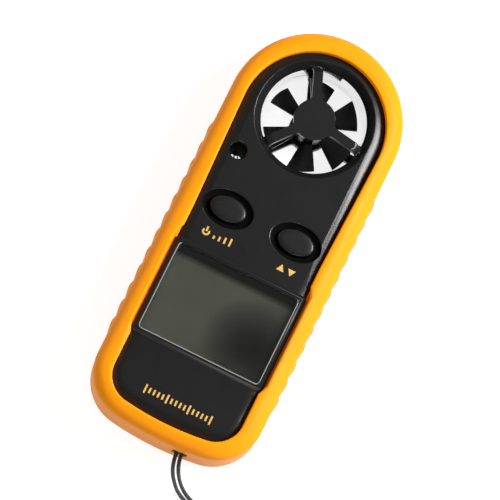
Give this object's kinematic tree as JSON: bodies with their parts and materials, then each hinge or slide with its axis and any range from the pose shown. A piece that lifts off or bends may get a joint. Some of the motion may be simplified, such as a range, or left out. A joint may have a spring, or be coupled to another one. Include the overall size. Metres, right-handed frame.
{
  "type": "handheld weather meter",
  "caption": "Pocket vane anemometer: fan in a round duct, display and push buttons in a black housing with an orange rubber sleeve and a lanyard.",
  "frame": {"origin": "middle of the instrument's outline in plan, on the surface that its back rests on, the lanyard left out", "axes": "+X to the right seen from the front, +Y along the body towards the fan end, +Z out of the front face"},
  "size_m": [0.0568, 0.1335, 0.0182],
  "materials": {
    "sleeve_rubber": "satin orange rubber",
    "housing_black": "fine satin black",
    "liner_metal": "polished, drawn lines around",
    "impeller_plastic": "smooth black",
    "steel": "bright",
    "magnet": "nickel plated",
    "jewel": "polished ruby",
    "chip_black": "moulded epoxy",
    "bead": "glass coated bead",
    "lens_clear": "clear, polished",
    "lcd_grey": "grey display glass",
    "diffuser": "milky",
    "holder_white": "white moulding",
    "strip_rubber": "layered rubber",
    "board_green": "solder mask",
    "button_black": "satin black",
    "dome_rubber": "silicone",
    "cell_steel": "bright",
    "contact_brass": "plated spring sheet",
    "cover_black": "satin black",
    "string_black": "braided polyester"
  },
  "bodies": {
    "case": {"sleeve": "sleeve_rubber", "front_housing": "housing_black", "rear_housing": "housing_black", "duct_liner": "liner_metal", "front_bearing": "jewel", "rear_bearing": "jewel", "hall_sensor": "chip_black", "thermistor": "bead", "display_lens": "lens_clear", "lcd_panel": "lcd_grey", "backlight_plate": "diffuser", "display_holder": "holder_white", "contact_strips": "strip_rubber", "circuit_board": "board_green", "controller_chip": "chip_black", "clock_crystal": "steel", "left_dome": "dome_rubber", "right_dome": "dome_rubber", "coin_cell": "cell_steel", "positive_contact": "contact_brass", "negative_contact": "contact_brass", "housing_screws": "steel", "board_screws": "steel", "lanyard_string_a": "string_black", "lanyard_string_b": "string_black", "lanyard_coil": "string_black", "lanyard_knot": "string_black"},
    "rotor": {"impeller": "impeller_plastic", "impeller_shaft": "steel", "rotor_magnet": "magnet"},
    "left_key": {"left_button": "button_black"},
    "right_key": {"right_button": "button_black"},
    "cell_door": {"battery_cover": "cover_black"}
  },
  "joints": [
    {"name": "impeller_spin", "type": "hinge", "parent": "case", "child": "rotor", "pos_m": [0, 0.033, 0.0091], "axis": [0, 0, 1], "continuous": true},
    {"name": "left_press", "type": "slide", "parent": "case", "child": "left_key", "axis": [0, 0, -1], "range_m": [0, 0.0006], "stiffness_N_per_m": 1500, "deforming": ["left_dome"]},
    {"name": "right_press", "type": "slide", "parent": "case", "child": "right_key", "axis": [0, 0, -1], "range_m": [0, 0.0006], "stiffness_N_per_m": 1500, "deforming": ["right_dome"]},
    {"name": "cover_turn", "type": "hinge", "parent": "case", "child": "cell_door", "pos_m": [0, -0.027, 0.0025], "axis": [0, 0, -1], "range_deg": [0, 40]}
  ]
}
